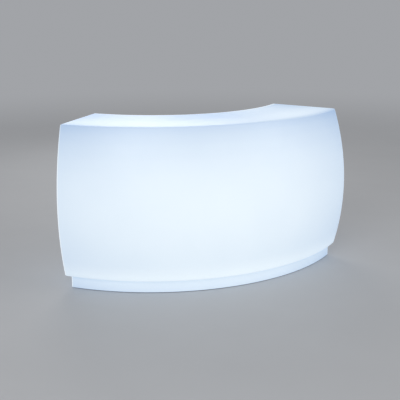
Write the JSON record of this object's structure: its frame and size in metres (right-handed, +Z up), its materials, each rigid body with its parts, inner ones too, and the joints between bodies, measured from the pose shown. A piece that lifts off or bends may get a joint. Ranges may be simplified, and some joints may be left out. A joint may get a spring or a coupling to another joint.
{
  "type": "illuminated bar counter",
  "caption": "Curved bar counter with a translucent moulded body lit from inside, a service bay with a shelf and hatch at the back, a recessed plinth and levelling feet.",
  "frame": {"origin": "middle of the bounding box in plan, on the floor under the levelling feet", "axes": "+X along the counter, to the right as the guests see it; +Y from the guests' bulging front to the bartender's side; +Z up"},
  "size_m": [2.0902, 0.878, 1.1],
  "materials": {
    "glowing_polyethylene": "satin translucent moulding, lit from inside",
    "liner_polyethylene": "satin translucent sheet moulding",
    "white_laminate": "smooth, low gloss",
    "white_plastic": "fine matte",
    "black_plastic": "fine matte",
    "zinc_plated_steel": "bright zinc plate",
    "anodised_aluminium": "clear anodised",
    "led_board": "white solder mask, lit",
    "opal_acrylic": "opal, satin",
    "black_rubber": "matte"
  },
  "bodies": {
    "root": {"counter_shell": "glowing_polyethylene", "bay_liner": "liner_polyethylene", "shelf_left": "white_laminate", "shelf_middle": "white_laminate", "shelf_right": "white_laminate", "shelf_bracket_left": "zinc_plated_steel", "shelf_bracket_right": "zinc_plated_steel", "base_plate": "zinc_plated_steel", "deck_channel_left": "zinc_plated_steel", "deck_channel_right": "zinc_plated_steel", "hatch_hinge_leaf": "zinc_plated_steel", "hatch_hinge_pin": "zinc_plated_steel", "hatch_magnet": "black_plastic", "power_inlet": "black_plastic", "inlet_cap_pin": "zinc_plated_steel", "switch_frame": "black_plastic", "driver_box": "white_plastic", "driver_lid": "white_plastic", "inlet_lead": "black_plastic", "mains_lead": "black_plastic", "light_lead_left": "black_plastic", "light_lead_middle": "black_plastic", "light_lead_right": "black_plastic", "light_base_left": "white_plastic", "light_base_middle": "white_plastic", "light_base_right": "white_plastic", "light_profile_left": "anodised_aluminium", "light_profile_middle": "anodised_aluminium", "light_profile_right": "anodised_aluminium", "led_strip_left": "led_board", "led_strip_middle": "led_board", "led_strip_right": "led_board", "diffuser_tube_left": "opal_acrylic", "diffuser_tube_middle": "opal_acrylic", "diffuser_tube_right": "opal_acrylic", "foot_1_nut": "zinc_plated_steel", "foot_2_nut": "zinc_plated_steel", "foot_3_nut": "zinc_plated_steel", "foot_4_nut": "zinc_plated_steel", "foot_5_nut": "zinc_plated_steel", "foot_6_nut": "zinc_plated_steel"},
    "hatch": {"hatch_door": "liner_polyethylene", "hatch_pull": "black_plastic", "hatch_strike": "zinc_plated_steel"},
    "inlet_flap": {"inlet_cap": "black_plastic"},
    "rocker": {"switch_rocker": "black_plastic"},
    "foot_1": {"foot_1_pad": "black_rubber"},
    "foot_2": {"foot_2_pad": "black_rubber"},
    "foot_3": {"foot_3_pad": "black_rubber"},
    "foot_4": {"foot_4_pad": "black_rubber"},
    "foot_5": {"foot_5_pad": "black_rubber"},
    "foot_6": {"foot_6_pad": "black_rubber"},
    "foot_1_screw": {"foot_1_stud": "zinc_plated_steel"},
    "foot_2_screw": {"foot_2_stud": "zinc_plated_steel"},
    "foot_3_screw": {"foot_3_stud": "zinc_plated_steel"},
    "foot_4_screw": {"foot_4_stud": "zinc_plated_steel"},
    "foot_5_screw": {"foot_5_stud": "zinc_plated_steel"},
    "foot_6_screw": {"foot_6_stud": "zinc_plated_steel"}
  },
  "joints": [
    {"name": "hatch_hinge", "type": "hinge", "parent": "root", "child": "hatch", "pos_m": [-0.16438, -0.11833, 0.35], "axis": [0, 0, 1], "range_deg": [0, 105]},
    {"name": "inlet_cap_hinge", "type": "hinge", "parent": "root", "child": "inlet_flap", "pos_m": [0.13439, 0.13979, 0.0673], "axis": [0.9903, 0.1392, 0], "range_deg": [0, 110]},
    {"name": "switch_rock", "type": "hinge", "parent": "root", "child": "rocker", "pos_m": [0.19277, 0.1485, 0.05], "axis": [0.9799, 0.1994, 0], "range_deg": [-14, 0]},
    {"name": "foot_1_height", "type": "slide", "parent": "root", "child": "foot_1", "axis": [0, 0, -1], "range_m": [-0.005, 0.02]},
    {"name": "foot_2_height", "type": "slide", "parent": "root", "child": "foot_2", "axis": [0, 0, -1], "range_m": [-0.005, 0.02]},
    {"name": "foot_3_height", "type": "slide", "parent": "root", "child": "foot_3", "axis": [0, 0, -1], "range_m": [-0.005, 0.02]},
    {"name": "foot_4_height", "type": "slide", "parent": "root", "child": "foot_4", "axis": [0, 0, -1], "range_m": [-0.005, 0.02]},
    {"name": "foot_5_height", "type": "slide", "parent": "root", "child": "foot_5", "axis": [0, 0, -1], "range_m": [-0.005, 0.02]},
    {"name": "foot_6_height", "type": "slide", "parent": "root", "child": "foot_6", "axis": [0, 0, -1], "range_m": [-0.005, 0.02]},
    {"name": "foot_1_turn", "type": "hinge", "parent": "foot_1", "child": "foot_1_screw", "pos_m": [-0.89696, 0.03021, 0.02], "axis": [0, 0, -1], "range_deg": [-1201, 4801]},
    {"name": "foot_2_turn", "type": "hinge", "parent": "foot_2", "child": "foot_2_screw", "pos_m": [0, -0.29701, 0.02], "axis": [0, 0, -1], "range_deg": [-1201, 4801]},
    {"name": "foot_3_turn", "type": "hinge", "parent": "foot_3", "child": "foot_3_screw", "pos_m": [0.89696, 0.03021, 0.02], "axis": [0, 0, -1], "range_deg": [-1201, 4801]},
    {"name": "foot_4_turn", "type": "hinge", "parent": "foot_4", "child": "foot_4_screw", "pos_m": [-0.66589, 0.32071, 0.02], "axis": [0, 0, -1], "range_deg": [-1201, 4801]},
    {"name": "foot_5_turn", "type": "hinge", "parent": "foot_5", "child": "foot_5_screw", "pos_m": [0, 0.074, 0.02], "axis": [0, 0, -1], "range_deg": [-1201, 4801]},
    {"name": "foot_6_turn", "type": "hinge", "parent": "foot_6", "child": "foot_6_screw", "pos_m": [0.66589, 0.32071, 0.02], "axis": [0, 0, -1], "range_deg": [-1201, 4801]}
  ],
  "couplings": [
    {"joint": "foot_1_turn", "follows": "foot_1_height", "rad_per_m": 4188.8},
    {"joint": "foot_2_turn", "follows": "foot_2_height", "rad_per_m": 4188.8},
    {"joint": "foot_3_turn", "follows": "foot_3_height", "rad_per_m": 4188.8},
    {"joint": "foot_4_turn", "follows": "foot_4_height", "rad_per_m": 4188.8},
    {"joint": "foot_5_turn", "follows": "foot_5_height", "rad_per_m": 4188.8},
    {"joint": "foot_6_turn", "follows": "foot_6_height", "rad_per_m": 4188.8}
  ]
}
